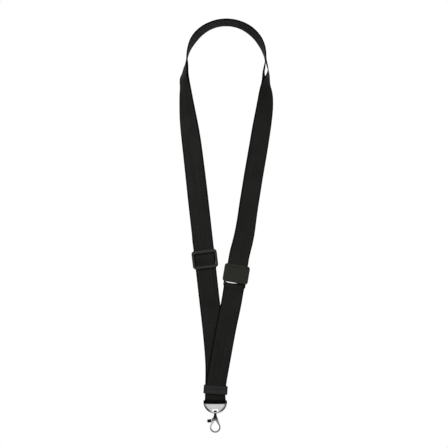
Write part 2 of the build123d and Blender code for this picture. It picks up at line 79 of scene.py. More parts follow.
# Places of the hardware, as in the CAD model.
SLIDER_HEIGHT = -288.0 * MM
SLIDER_TURN = math.radians(-7.0)
SLIDER_BACK = 2.75 * MM
CENTRE_BAR = (7.2 * MM, 1.5 * MM)
SLIDER_SEWN_TOP = 28.0 * MM
SLIDER_SEWN_LOW = 11.0 * MM
CLIP_CENTRE = Vector((12.2, 0, -305.7)) * MM
CLIP_TURN = math.radians(9.5)
CLIP_TOP = 11.0 * MM
WEB_BAR = (2.4 * MM, 1.2 * MM)
PLUG_BAR_HEIGHT = 8.0 * MM
RECEPTACLE_BAR_HEIGHT = -14.5 * MM
PLUG_LOOP_TOP = 20.0 * MM
RECEPTACLE_LOOP_END = -31.0 * MM
RECEPTACLE_SEWN_END = -29.0 * MM
RECEPTACLE_SEWN_TOP = -20.5 * MM
RECEPTACLE_LOOP_LOW = -16.5 * MM
KEEPER_CENTRE = Vector((-13.0, 0, -447.2)) * MM
KEEPER_TURN = math.radians(4.0)
KEEPER_OUTSIDE = (29.3 * MM, 4.2 * MM)
KEEPER_HEIGHT = 10.1 * MM
KEEPER_WALL = 0.8 * MM
HOOK_X = -13.4 * MM
BAR_HEIGHT = -461.4 * MM
BAR_RADIUS = 1.2 * MM
BASE_HALF_WIDTH = 14.4 * MM
BASE_TOP = -462.4 * MM
BASE_DROP = 13.6 * MM
FOLD_SLACK = 0.53 * MM
FOLD_ABOVE_BAR = 1.2 * MM

# Where the layers stand apart at the shoulders: height, half length and distance.
RIGHT_OUTER_BULGE = (-60 * MM, 16 * MM, 3.0 * MM)
RIGHT_INNER_BULGE = (-61 * MM, 15 * MM, -2.0 * MM)
LEFT_OUTER_BULGES = [(-53 * MM, 10 * MM, 1.3 * MM), (-66 * MM, 12 * MM, 1.8 * MM)]

# Where the webbing spreads to fill a slot: height, half length and share of its width.
HOOK_SLOT = (-463.0 * MM, 5.5 * MM, 0.027)
RECEPTACLE_SLOT = (-319.5 * MM, 6.5 * MM, 0.013)
SLIDER_SLOT = (14 * MM, 0.017)
SLIDER_LIFT = (8 * MM, 0.6 * MM)

# The fold over the receptacle's bar: how far it rises, and where it stays slack across the clip.
FOLD_RISE = 1.35 * MM
SLACK_LEFT = (-11.5 * MM, -9 * MM)
SLACK_RIGHT = (-2 * MM, 4.5 * MM)

# Box stitches: half width, low and high, from the clip's and the slider's centres.
RECEPTACLE_BOX = (9.8 * MM, -29.8 * MM, -21.7 * MM)
SLIDER_BOX = (10.2 * MM, 12.8 * MM, 25.8 * MM)

# The keeper's lapped end: its thickness, how much narrower it is, and its two rows of stitches.
LAP_THICK = 0.56 * MM
LAP_NARROWER = 0.8 * MM
LAP_STITCHES_X = 3.2 * MM
LAP_STITCHES_HIGH = 3.8 * MM

# Painted shade: from the keeper down to the fold, the slot's dark edge, and a painted dark reflection on the
# hook's neck.
KEEPER_TO_FOLD = 11 * MM
SLOT_SHADOW = -3.0 * MM
NECK_DARK_REFLECTION_HEIGHTS = (-481.5 * MM, -486.0 * MM)

# The webbing's route, in metres: the CAD route's points.
LEFT_UPPER = [(-0.0504, 0, -0.065), (-0.0489, 0, -0.096), (-0.0442, 0.0001, -0.131)]
LEFT_STRAIGHT_TOP = (-0.0382, LAYER_OFFSET, -0.180)
LEFT_STRAIGHT_END = (-0.0218, LAYER_OFFSET, -0.326)
LEFT_LOWER = [(-0.0207, 0.0004, -0.336), (-0.0176, 0.00045, -0.363), (-0.0144, 0.00045, -0.395),
              (-0.0129, 0.00045, -0.423)]
RIGHT_UPPER = [(0.0485, 0, -0.071), (0.0472, 0, -0.100), (0.0425, 0, -0.131), (0.0347, 0, -0.180),
               (0.0273, 0, -0.224), (0.0201, 0, -0.267)]
RIGHT_LOWER = [(0.0014, -0.00045, -0.364), (-0.0045, -0.00045, -0.395), (-0.0094, -0.00045, -0.422)]
LEGS_JOIN = (HOOK_X, -454.5 * MM)
LEGS_JOIN_DEPTH = 0.45 * MM
LEFT_FIXED_END = -193.0 * MM
RIGHT_FIXED_END = -250.0 * MM

# How far the webbing has turned to face the front, in degrees, by height in metres.
LEFT_ARCH_TWIST = [(0, -3), (-0.004, -5), (-0.012, -8), (-0.021, -8), (-0.028, -3), (-0.036, 1)]
RIGHT_ARCH_TWIST = [(0, -3), (-0.004, -6), (-0.012, -8), (-0.022, -8), (-0.030, -5), (-0.040, 1)]
LEFT_TWIST = [(-0.0475, 5), (-0.053, 11), (-0.060, 16), (-0.070, 26), (-0.085, 37), (-0.100, 46),
              (-0.115, 56), (-0.130, 65), (-0.145, 71), (-0.190, 80), (-0.220, 90)]
RIGHT_TWIST = [(-0.0475, 3), (-0.058, 5), (-0.066, 13), (-0.073, 25), (-0.085, 43), (-0.100, 54),
               (-0.115, 61), (-0.130, 66), (-0.160, 69), (-0.240, 70), (-0.285, 90)]


# ---------------------------------------------------------------- routes

class Curve:
    """A smooth line through points, with given directions at its ends."""

    def __init__(self, points, start, end):
        self.points = np.array(points, float)
        steps = np.linalg.norm(np.diff(self.points, axis=0), axis=1)
        self.knots = np.concatenate([[0], np.cumsum(steps)])
        count = len(points)
        rows = np.zeros((count, count))
        wanted = np.zeros((count, 3))
        rows[0, 0] = rows[-1, -1] = 1
        wanted[0] = Vector(start).normalized()
        wanted[-1] = Vector(end).normalized()
        for k in range(1, count - 1):
            before, after = steps[k - 1], steps[k]
            rows[k, k - 1 : k + 2] = after, 2 * (before + after), before
            rise = before * (self.points[k + 1] - self.points[k]) / after
            wanted[k] = 3 * (rise + after * (self.points[k] - self.points[k - 1]) / before)
        self.slopes = np.linalg.solve(rows, wanted)

    def at(self, distance):
        k = int(np.clip(np.searchsorted(self.knots, distance) - 1, 0, len(self.knots) - 2))
        span = self.knots[k + 1] - self.knots[k]
        t = (distance - self.knots[k]) / span
        near, far = self.points[k], self.points[k + 1]
        out, back = self.slopes[k] * span, self.slopes[k + 1] * span
        place = near * (1 - 3 * t**2 + 2 * t**3) + far * (3 * t**2 - 2 * t**3)
        place = place + out * (t - 2 * t**2 + t**3) + back * (t**3 - t**2)
        return Vector(place)

    def at_height(self, height):
        low, high = 0.0, self.knots[-1]
        for _ in range(40):
            middle = (low + high) / 2
            if self.at(middle).z > height:
                low = middle
            else:
                high = middle
        return (low + high) / 2


def turned(table, inward, height):
    """Across and normal directions at a height, with the table's corners smoothed."""
    heights = [-row[0] for row in table]
    angles = [row[1] for row in table]
    around = [-height + shift * MM for shift in (-4, -2, 0, 2, 4)]
    turn = math.radians(float(np.mean(np.interp(around, heights, angles))))
    across = FRONT * math.cos(turn) + inward * math.sin(turn)
    normal = FRONT * math.sin(turn) - inward * math.cos(turn)
    return across, normal


def leg(curve, top, bottom, inward_sign, table):
    """(place, across, normal) stations down a leg; inward_sign is +1 where the inside of the loop is +X."""
    first, last = curve.at_height(top), curve.at_height(bottom)
    count = max(2, round((last - first) / STEP))
    stations = []
    for k in range(count + 1):
        distance = first + (last - first) * k / count
        place = curve.at(distance)
        along = (curve.at(distance + MM / 2) - curve.at(distance - MM / 2)).normalized()
        inward = Vector((-along.z, 0, along.x)).normalized() * inward_sign
        stations.append((place, *turned(table, inward, place.z)))
    return stations


def arch():
    """Half a circle over the neck, from the right leg to the left leg, its front edge spread wider."""
    count = round(math.pi * ARCH_MIDDLE / STEP)
    tables = {1: RIGHT_ARCH_TWIST + RIGHT_TWIST, -1: LEFT_ARCH_TWIST + LEFT_TWIST}
    stations = []
    for k in range(count + 1):
        angle = math.pi * k / count
        outward = Vector((math.cos(angle), 0, math.sin(angle)))
        place = Vector((0, 0, -ARCH_RADIUS)) + outward * ARCH_MIDDLE
        side = 1 if place.x > 0 else -1
        stations.append((place, *turned(tables[side], -outward, place.z)))
    return stations


def rounded_path(points):
    """Points along (Y, Z) runs, evenly spaced, with the corners eased."""
    line = [Vector(p) for p in points]
    dense = [line[0]]
    for a, b in zip(line, line[1:]):
        count = max(1, round((b - a).length / FOLD_STEP))
        dense += [a.lerp(b, k / count) for k in range(1, count + 1)]
    for _ in range(3):
        inner = [(a + b * 2 + c) / 4 for a, b, c in zip(dense, dense[1:], dense[2:])]
        dense = [dense[0], *inner, dense[-1]]
    return dense


def fold(points, place):
    """Stations of webbing folded along (Y, Z) points, put where place says."""
    dense = rounded_path(points)
    turn = place.to_3x3()
    stations = []
    for k, point in enumerate(dense):
        step = dense[min(k + 1, len(dense) - 1)] - dense[max(k - 1, 0)]
        along = Vector((0, step.x, step.y)).normalized()
        stations.append((place @ Vector((0, point.x, point.y)), turn @ ALONG_X, turn @ along.cross(ALONG_X)))
    return stations


def bend(centre, radius, start, end):
    """Points of an arc in the (Y, Z) plane, by angle in degrees from +Y."""
    turns = [math.radians(start + (end - start) * k / BEND_STEPS) for k in range(BEND_STEPS + 1)]
    return [(centre[0] + radius * math.cos(t), centre[1] + radius * math.sin(t)) for t in turns]


def shifted(stations, offset):
    """A layer at a distance from the middle of the webbing."""
    return [(place + normal * offset, across, normal) for place, across, normal in stations]


def eased(value, start, end):
    """0 to 1 between start and end, with soft ends."""
    t = min(max((value - start) / (end - start), 0), 1)
    return t * t * (3 - 2 * t)


def hump(value, centre, half):
    """1 at the centre, falling softly to 0 at half on each side."""
    return 1 - eased(abs(value - centre), 0, half)


def ripple(stations, phase):
    """A slight natural wander of both layers, none near the hardware."""
    wandered = []
    for place, across, normal in stations:
        calm = eased(-place.z, ARCH_RADIUS, 85 * MM) * (1 - eased(-place.z, 180 * MM, 225 * MM))
        wave = math.sin(place.z / 0.021 + phase) + 0.6 * math.sin(place.z / 0.0117 + 2.3 * phase)
        wandered.append((place + normal * (0.5 * MM * wave * calm), across, normal))
    return wandered


def opened(stations, side, height, half, size):
    """A layer standing off the other one on one leg, about a height."""
    parted = []
    for place, across, normal in stations:
        gap = size * hump(place.z, height, half) if place.x * side > 0 else 0
        parted.append((place + normal * gap, across, normal))
    return parted


def crowded(stations, height, half, share):
    """Webbing that spreads a little to fill a slot at a height."""
    return [(place, across * (1 + share * (1 - eased(abs(place.z - height), half * 0.6, half))), normal)
            for place, across, normal in stations]


def through_slider(stations):
    """The outer layer lifted over the slider's centre bar, and filling the slider's width."""
    height = slider_centre.z
    reach, rise = SLIDER_LIFT
    lifted = []
    for place, across, normal in crowded(stations, height, *SLIDER_SLOT):
        lift = rise * hump(place.z, height, reach) if place.x < 0 else 0
        lifted.append((place + FRONT * lift, across, normal))
    return lifted


def flipped(stations, across_sign, normal_sign):
    """The same webbing with its sides or its faces exchanged."""
    return [(place, across * across_sign, normal * normal_sign) for place, across, normal in stations]


left_slope = Vector(LEFT_STRAIGHT_END) - Vector(LEFT_STRAIGHT_TOP)
left_upper = Curve([(-ARCH_MIDDLE, 0, -ARCH_RADIUS), *LEFT_UPPER, LEFT_STRAIGHT_TOP], (0, 0, -1), left_slope)
left_straight = Curve([LEFT_STRAIGHT_TOP, LEFT_STRAIGHT_END], left_slope, left_slope)
left_through_end = Vector(LEFT_STRAIGHT_END) + FRONT * LAYER_OFFSET
left_join = (LEGS_JOIN[0], LEGS_JOIN_DEPTH, LEGS_JOIN[1])
left_lower = Curve([left_through_end, *LEFT_LOWER, left_join], left_slope, (0, 0, -1))

slider_centre = left_straight.at(left_straight.at_height(SLIDER_HEIGHT))
slider_middle = Vector((slider_centre.x, 0, slider_centre.z))
slider_place = Matrix.Translation(slider_middle) @ Matrix.Rotation(SLIDER_TURN, 4, "Y")
clip_place = Matrix.Translation(CLIP_CENTRE) @ Matrix.Rotation(CLIP_TURN, 4, "Y")
keeper_place = Matrix.Translation(KEEPER_CENTRE) @ Matrix.Rotation(KEEPER_TURN, 4, "Y")
bar_place = Matrix.Translation((HOOK_X, 0, 0))

clip_down = clip_place.to_3x3() @ Vector((0, 0, -1))
right_plug_end = clip_place @ Vector((0, 0, PLUG_LOOP_TOP))
right_upper = Curve([(ARCH_MIDDLE, 0, -ARCH_RADIUS), *RIGHT_UPPER, right_plug_end], (0, 0, -1), clip_down)
right_start = clip_place @ Vector((0, -LAYER_OFFSET, RECEPTACLE_LOOP_END))
right_join = (LEGS_JOIN[0], -LEGS_JOIN_DEPTH, LEGS_JOIN[1])
right_lower = Curve([right_start, *RIGHT_LOWER, right_join], clip_down, (0, 0, -1))


def hook_fold_points():
    """Round the hook base's bar, from the left leg to the right leg."""
    reach = BAR_RADIUS + FOLD_SLACK + WEB_THICK / 2
    join = LEGS_JOIN[1]
    above = BAR_HEIGHT + FOLD_ABOVE_BAR
    points = [(LEGS_JOIN_DEPTH, join), (LEGS_JOIN_DEPTH, join - MM), (reach, above)]
    points += bend((0, BAR_HEIGHT), reach, 0, -180)
    points += [(-reach, above), (-LEGS_JOIN_DEPTH, join - MM), (-LEGS_JOIN_DEPTH, join)]
    return points


def slider_loop_points():
    """Round the slider's centre bar and up behind, where it is sewn."""
    bar_height, bar_thick = CENTRE_BAR
    depth = SLIDER_BACK - bar_thick / 2
    reach = bar_thick / 2 + LAYER_GAP + WEB_THICK / 2
    low = (depth, -bar_height / 2 + bar_thick / 2)
    sewn = 2 * LAYER_OFFSET + WEB_THICK + LAYER_GAP
    points = [(depth - reach, SLIDER_SEWN_TOP), *bend(low, reach, 180, 360)]
    points += [(depth + reach, bar_height / 2), (sewn, SLIDER_SEWN_LOW), (sewn, SLIDER_SEWN_TOP - MM)]
    return points


def plug_loop_points():
    """Round the plug's bar, both ends upwards."""
    reach = WEB_BAR[1] / 2 + LAYER_GAP + WEB_THICK / 2
    low = (0, PLUG_BAR_HEIGHT - WEB_BAR[0] / 2 + WEB_BAR[1] / 2)
    straight = PLUG_LOOP_TOP - 2 * MM
    points = [(-LAYER_OFFSET, PLUG_LOOP_TOP), (-LAYER_OFFSET, straight), (-reach, CLIP_TOP + MM)]
    points += bend(low, reach, 180, 360)
    points += [(reach, CLIP_TOP + MM), (LAYER_OFFSET, straight), (LAYER_OFFSET, PLUG_LOOP_TOP)]
    return points


def receptacle_loop_points():
    """Round the receptacle's bar, both ends downwards and sewn together."""
    reach = WEB_BAR[1] / 2 + LAYER_GAP + WEB_THICK / 2
    high = (0, RECEPTACLE_BAR_HEIGHT + WEB_BAR[0] / 2 - WEB_BAR[1] / 2)
    points = [(-LAYER_OFFSET, RECEPTACLE_LOOP_END), (-LAYER_OFFSET, RECEPTACLE_SEWN_TOP)]
    points += [(-reach, RECEPTACLE_LOOP_LOW), *bend(high, reach, 180, 0), (reach, RECEPTACLE_LOOP_LOW)]
    points += [(LAYER_OFFSET, RECEPTACLE_SEWN_TOP), (LAYER_OFFSET, RECEPTACLE_SEWN_END)]
    return points


# ---------------------------------------------------------------- materials

def new_material(name):
    """An empty node material: (material, nodes, links, shader)."""
    material = bpy.data.materials.new(name)
    material.use_nodes = True
    tree = material.node_tree
    shader = tree.nodes["Principled BSDF"]
    return material, tree.nodes, tree.links, shader


def object_place(tree_nodes, links):
    """X, Y and Z in metres from the piece's origin."""
    split = tree_nodes.new("ShaderNodeSeparateXYZ")
    links.new(tree_nodes.new("ShaderNodeTexCoord").outputs["Object"], split.inputs[0])
    return split.outputs


def maths(tree_nodes, links, operation, first, second=None):
    """One step of arithmetic on numbers or sockets."""
    node = tree_nodes.new("ShaderNodeMath")
    node.operation = operation
    for k, value in enumerate((first, second)):
        if value is None:
            continue
        if isinstance(value, (int, float)):
            node.inputs[k].default_value = value
        else:
            links.new(value, node.inputs[k])
    return node.outputs[0]


def ramp(tree_nodes, links, value, stops):
    """A colour ramp: stops are (position, grey or colour)."""
    node = tree_nodes.new("ShaderNodeValToRGB")
    elements = node.color_ramp.elements
    while len(elements) < len(stops):
        elements.new(0.5)
    for element, (position, colour) in zip(elements, stops):
        element.position = position
        colour = (colour, colour, colour) if isinstance(colour, (int, float)) else colour
        element.color = (*colour, 1)
    links.new(value, node.inputs["Fac"])
    return node.outputs["Color"]


def noise(tree_nodes, links, scale, detail, vector=None):
    """Soft noise over the piece's own coordinates, or over those given."""
    node = tree_nodes.new("ShaderNodeTexNoise")
    node.inputs["Scale"].default_value = scale
    node.inputs["Detail"].default_value = detail
    if vector is None:
        vector = tree_nodes.new("ShaderNodeTexCoord").outputs["Object"]
    links.new(vector, node.inputs["Vector"])
    return node.outputs["Fac"]


def mixed(tree_nodes, links, share, first, second, blend_type="MIX"):
    """Two colours or sockets mixed by a share."""
    node = tree_nodes.new("ShaderNodeMix")
    node.data_type = "RGBA"
    node.blend_type = blend_type
    for socket, value in ((node.inputs[0], share), (node.inputs[6], first), (node.inputs[7], second)):
        if isinstance(value, (int, float)):
            socket.default_value = value
        elif isinstance(value, tuple):
            socket.default_value = (*value, 1)
        else:
            links.new(value, socket)
    return node.outputs[2]


def bumped(tree_nodes, links, shader, layers):
    """Stacks bumps: layers are (height, distance in metres, strength)."""
    normal = None
    for height, distance, strength in layers:
        node = tree_nodes.new("ShaderNodeBump")
        node.inputs["Distance"].default_value = distance
        node.inputs["Strength"].default_value = strength
        links.new(height, node.inputs["Height"])
        if normal is not None:
            links.new(normal, node.inputs["Normal"])
        normal = node.outputs["Normal"]
    links.new(normal, shader.inputs["Normal"])


def webbing_material(name, dark, light, rib, pick, sheen, edge_shade):
    """Woven tape: herringbone ribs along the length, painted shade along both edges, faint streaks and lint.
    """
    material, tn, links, shader = new_material(name)
    uv = tn.new("ShaderNodeUVMap")
    uv.uv_map = "tape"
    split = tn.new("ShaderNodeSeparateXYZ")
    links.new(uv.outputs["UV"], split.inputs[0])
    across, along = split.outputs["X"], split.outputs["Y"]

    def m(operation, first, second=None):
        return maths(tn, links, operation, first, second)

    # Neighbouring ribs lean opposite ways.
    column = m("DIVIDE", across, rib)
    within = m("FRACT", column)
    parity = m("MULTIPLY", m("FRACT", m("MULTIPLY", m("FLOOR", column), 0.5)), 4.0)
    lean = m("SUBTRACT", parity, 1.0)
    phase = m("ADD", m("DIVIDE", along, pick), m("MULTIPLY", lean, within))
    yarn = m("ADD", m("MULTIPLY", m("SINE", m("MULTIPLY", phase, 2 * math.pi)), 0.5), 0.5)
    groove = m("MULTIPLY", m("SUBTRACT", 1.0, within), m("MULTIPLY", within, 4.0))
    weave = m("MULTIPLY", yarn, m("ADD", m("MULTIPLY", groove, 0.6), 0.4))

    streak_place = tn.new("ShaderNodeCombineXYZ")
    links.new(m("MULTIPLY", across, 900.0), streak_place.inputs[0])
    links.new(m("MULTIPLY", along, 9.0), streak_place.inputs[1])
    streaks = noise(tn, links, 1.0, 2.0, streak_place.outputs[0])
    blotch = noise(tn, links, 45.0, 3.0)
    lint = noise(tn, links, 2600.0, 1.0)

    tone = ramp(tn, links, weave, [(0.0, dark), (1.0, light)])
    # Painted shade: the tape darkens towards both edges, where it rounds over.
    edge = m("DIVIDE", m("ABSOLUTE", across), WEB_WIDTH / 2)
    # Painted shade: darker below the keeper, and darkest in the fold over the hook's bar.
    below_keeper = m("SUBTRACT", KEEPER_CENTRE.z - KEEPER_HEIGHT / 2, object_place(tn, links)["Z"])
    towards_fold = m("MULTIPLY", below_keeper, 1 / KEEPER_TO_FOLD)
    shades = [(streaks, [(0.3, 0.78), (0.7, 1.18)]),
              (blotch, [(0.3, 0.88), (0.7, 1.1)]),
              (lint, [(0.66, 1.0), (0.78, 1.5)]),
              (edge, [(0.85, 1.0), (0.91, edge_shade), (1.0, edge_shade * 0.7)]),
              (towards_fold, [(0.0, 1.0), (0.08, 0.72), (0.5, 0.68), (0.72, 0.2)])]
    for value, stops in shades:
        tone = mixed(tn, links, 1.0, tone, ramp(tn, links, value, stops), "MULTIPLY")
    links.new(tone, shader.inputs["Base Color"])
    links.new(ramp(tn, links, weave, [(0.0, 0.92), (1.0, 0.7)]), shader.inputs["Roughness"])
    shader.inputs["Specular IOR Level"].default_value = 0.12
    shader.inputs["Sheen Weight"].default_value = sheen
    shader.inputs["Sheen Roughness"].default_value = 0.35
    bumped(tn, links, shader, [(weave, 0.12 * MM, 0.8), (streaks, 0.05 * MM, 0.5), (lint, 0.03 * MM, 0.4)])
    return material


def plastic_material(name, base, roughness, specular):
    """Moulded plastic: fine grain, uneven gloss and faint rubbed patches."""
    material, tn, links, shader = new_material(name)
    cloud = noise(tn, links, 120.0, 4.0)
    grain = noise(tn, links, 1400.0, 2.0)
    darker = tuple(c * 0.82 for c in base)
    lighter = tuple(c * 1.25 for c in base)
    worn = tuple(c * 1.7 for c in base)
    tone = ramp(tn, links, cloud, [(0.3, darker), (0.7, lighter)])
    rubbed = ramp(tn, links, noise(tn, links, 420.0, 5.0), [(0.62, 0.0), (0.75, 0.35)])
    gloss = ramp(tn, links, cloud, [(0.3, roughness * 0.85), (0.7, roughness * 1.15)])
    links.new(mixed(tn, links, rubbed, tone, worn), shader.inputs["Base Color"])
    links.new(gloss, shader.inputs["Roughness"])
    shader.inputs["Specular IOR Level"].default_value = specular
    bumped(tn, links, shader, [(grain, 0.012 * MM, 0.6), (cloud, 0.03 * MM, 0.3)])
    return material


def half_moon_shape(tn, links):
    """Over the half-moon base: 0 to 1 from middle to rim, 0 to 1 towards its sides, and height."""
    def m(operation, first, second=None):
        return maths(tn, links, operation, first, second)

    place = object_place(tn, links)
    sideways = m("DIVIDE", m("SUBTRACT", place["X"], HOOK_X), BASE_HALF_WIDTH)
    height = m("SUBTRACT", place["Z"], BASE_TOP)
    drop = m("DIVIDE", height, BASE_DROP)
    reach = m("ADD", m("POWER", sideways, 2.0), m("POWER", drop, 2.0))
    at_side = ramp(tn, links, m("ABSOLUTE", sideways), [(0.35, 0.0), (0.6, 1.0)])
    return m("SQRT", reach), at_side, height


def chrome_material(name, base, roughness, half_moon=False, dark_reflection_heights=None):
    """Plated metal: bright, with smudges, fine polishing lines and a slightly uneven skin."""
    material, tn, links, shader = new_material(name)
    smudge = noise(tn, links, 170.0, 5.0)
    place = tn.new("ShaderNodeMapping")
    place.inputs["Scale"].default_value = (1.0, 1.0, 14.0)
    links.new(tn.new("ShaderNodeTexCoord").outputs["Object"], place.inputs["Vector"])
    lines = noise(tn, links, 900.0, 3.0, place.outputs["Vector"])
    wave = noise(tn, links, 240.0, 2.0)
    tone = ramp(tn, links, smudge, [(0.3, tuple(c * 0.86 for c in base)), (0.7, base)])
    gloss = ramp(tn, links, smudge, [(0.35, roughness), (0.75, roughness * 2.2)])
    layers = [(lines, 0.004 * MM, 0.5), (wave, 0.05 * MM, 0.35)]
    shader.inputs["Metallic"].default_value = 1.0
    if half_moon:
        # Painted shade: the top edge by the webbing's slot is painted black, and the plate rolls over
        # towards its rim at both sides.
        reach, at_side, height = half_moon_shape(tn, links)
        near_slot = maths(tn, links, "MULTIPLY", height, 1 / SLOT_SHADOW)
        outside_painted_shade = ramp(tn, links, near_slot, [(0.5, 0.0), (0.72, 0.9), (0.9, 1.0)])
        tone = mixed(tn, links, outside_painted_shade, (0.008, 0.008, 0.008), tone)
        gloss = mixed(tn, links, outside_painted_shade, (0.7, 0.7, 0.7), gloss)
        links.new(outside_painted_shade, shader.inputs["Metallic"])
        rolled = ramp(tn, links, reach, [(0.8, 1.0), (0.9, 0.85), (1.0, 0.0)])
        layers.append((mixed(tn, links, at_side, (1.0, 1.0, 1.0), rolled), 0.6 * MM, 1.0))
        shader.inputs["Specular IOR Level"].default_value = 0.05
    if dark_reflection_heights:
        # Painted dark reflection on the hook below the swivel, fading out downwards between two heights.
        below = maths(tn, links, "SUBTRACT", dark_reflection_heights[0], object_place(tn, links)["Z"])
        share = maths(tn, links, "DIVIDE", below, dark_reflection_heights[0] - dark_reflection_heights[1])
        dark_reflection_factor = ramp(tn, links, share, [(0.0, 0.08), (1.0, 1.0)])
        tone = mixed(tn, links, 1.0, tone, dark_reflection_factor, "MULTIPLY")
    links.new(tone, shader.inputs["Base Color"])
    links.new(gloss, shader.inputs["Roughness"])
    bumped(tn, links, shader, layers)
    return material


def thread_material(name):
    """Twisted sewing thread."""
    material, tn, links, shader = new_material(name)
    place = tn.new("ShaderNodeTexCoord").outputs["Object"]
    strand = tn.new("ShaderNodeTexWave")
    strand.inputs["Scale"].default_value = 1500.0
    strand.inputs["Distortion"].default_value = 1.5
    links.new(place, strand.inputs["Vector"])
    tone = ramp(tn, links, strand.outputs["Fac"], [(0.2, 0.008), (0.9, (0.034, 0.034, 0.032))])
    links.new(tone, shader.inputs["Base Color"])
    shader.inputs["Roughness"].default_value = 0.55
    shader.inputs["Specular IOR Level"].default_value = 0.25
    shader.inputs["Sheen Weight"].default_value = 0.05
    bumped(tn, links, shader, [(strand.outputs["Fac"], 0.05 * MM, 0.6)])
    return material


webbing_black = webbing_material("webbing_black", dark=0.0105, light=(0.024, 0.024, 0.0205),
                                 rib=2.1 * MM, pick=0.8 * MM, sheen=0.015, edge_shade=0.28)
keeper_black = webbing_material("keeper_black", dark=0.022, light=(0.038, 0.038, 0.038),
                                rib=1.2 * MM, pick=0.5 * MM, sheen=0.02, edge_shade=0.8)
thread_black = thread_material("thread_black")
slider_black = plastic_material("slider_black", (0.0225, 0.0225, 0.0205), 0.42, 0.35)
clip_black = plastic_material("clip_black", (0.0185, 0.0185, 0.0155), 0.5, 0.3)
knob_black = plastic_material("knob_black", (0.004, 0.004, 0.004), 0.3, 0.25)
chrome = chrome_material("chrome", (0.8, 0.8, 0.8), 0.07)
# The hook's chrome carries a painted dark reflection at its neck.
hook_chrome = chrome_material("hook_chrome", (0.5, 0.5, 0.5), 0.07, dark_reflection_heights=NECK_DARK_REFLECTION_HEIGHTS)
base_chrome = chrome_material("base_chrome", (0.8, 0.8, 0.8), 0.07, half_moon=True)
steel = chrome_material("steel", (0.45, 0.45, 0.45), 0.25)


# ---------------------------------------------------------------- pieces

def add_piece(name, mesh_builder, material, body, smooth_angle=35.0):
    """Makes a mesh object from a bmesh, with smooth faces and sharp corners."""
    data = bpy.data.meshes.new(name)
    mesh_builder.to_mesh(data)
    mesh_builder.free()
    piece = bpy.data.objects.new(name, data)
    bpy.context.scene.collection.objects.link(piece)
    data.materials.append(material)
    data.shade_smooth()
    data.set_sharp_from_angle(angle=math.radians(smooth_angle))
    if body is not None:
        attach(piece, body)
    return piece


def tape_profile(width, thick, columns):
    """A closed outline (across, up) of flat webbing with round edges."""
    half = thick / 2
    flat = width / 2 - half * 0.8
    top = [(-flat + 2 * flat * k / columns, half) for k in range(columns + 1)]
    angles = [math.pi * k / EDGE_STEPS for k in range(1, EDGE_STEPS)]
    right = [(flat + half * 0.8 * math.sin(a), half * math.cos(a)) for a in angles]
    bottom = [(x, -half) for x, _ in reversed(top)]
    left = [(-x, -y) for x, y in right]
    return top + right + bottom + left


def tape(name, stations, material, body, width=WEB_WIDTH, thick=WEB_THICK, columns=14, endless=False):
    """Flat webbing along stations, or round them, with a map of its width and length in metres."""
    profile = tape_profile(width, thick, columns)
    places = [station[0] for station in stations]
    build = bmesh.new()
    layer = build.loops.layers.uv.new("tape")
    rings = []
    for place, across, normal in stations:
        rings.append([build.verts.new(place + across * x + normal * y) for x, y in profile])
    if endless:
        rings.append(rings[0])
        places.append(places[0])
    travelled = [0.0]
    for before, place in zip(places, places[1:]):
        travelled.append(travelled[-1] + (place - before).length)
    count = len(profile)
    for k in range(len(rings) - 1):
        near, far = rings[k], rings[k + 1]
        for j in range(count):
            following = (j + 1) % count
            face = build.faces.new((near[j], near[following], far[following], far[j]))
            corners = ((j, k), (following, k), (following, k + 1), (j, k + 1))
            for loop, (column, row) in zip(face.loops, corners):
                loop[layer].uv = (profile[column][0], travelled[row])
    ends = [] if endless else [(rings[0][::-1], 0), (rings[-1], -1)]
    for ring, row in ends:
        face = build.faces.new(ring)
        for loop in face.loops:
            loop[layer].uv = (0.0, travelled[row])
    bmesh.ops.recalc_face_normals(build, faces=build.faces)
    piece = add_piece(name, build, material, body)
    return piece, travelled[-1]


def loosen_receptacle_fold(piece):
    """The fold over the receptacle's bar stands up against the body, except left of its middle."""
    bar_top = RECEPTACLE_BAR_HEIGHT + WEB_BAR[0] / 2
    into_clip = clip_place.inverted()
    for vertex in piece.data.vertices:
        local = into_clip @ vertex.co
        if abs(local.x) < 14 * MM and abs(local.y) < 3 * MM and abs(local.z - bar_top) < 6 * MM:
            raised = max(eased(local.x, *SLACK_RIGHT), 1 - eased(local.x, *SLACK_LEFT))
            lift = eased(local.z, bar_top - 4 * MM, bar_top) * (0.3 + 0.7 * raised)
            local.z += FOLD_RISE * lift
            vertex.co = clip_place @ local


right_fixed = leg(right_upper, -ARCH_RADIUS, RIGHT_FIXED_END, -1, RIGHT_ARCH_TWIST + RIGHT_TWIST)
right_moving = leg(right_upper, RIGHT_FIXED_END, right_plug_end.z, -1, RIGHT_TWIST)
left_fixed = leg(left_upper, -ARCH_RADIUS, LEFT_STRAIGHT_TOP[2], 1, LEFT_ARCH_TWIST + LEFT_TWIST)
left_short = leg(left_straight, LEFT_STRAIGHT_TOP[2], LEFT_FIXED_END, 1, LEFT_TWIST)
left_moving_end = (slider_place @ Vector((0, 0, SLIDER_SEWN_TOP))).z
left_moving = leg(left_straight, LEFT_FIXED_END, left_moving_end, 1, LEFT_TWIST)
left_rest = leg(left_straight, left_moving_end, LEFT_STRAIGHT_END[2], 1, LEFT_TWIST)
left_low = leg(left_lower, LEFT_STRAIGHT_END[2], LEGS_JOIN[1], 1, LEFT_TWIST)
right_low = leg(right_lower, right_start.z, LEGS_JOIN[1], -1, RIGHT_TWIST)
over_neck = arch()

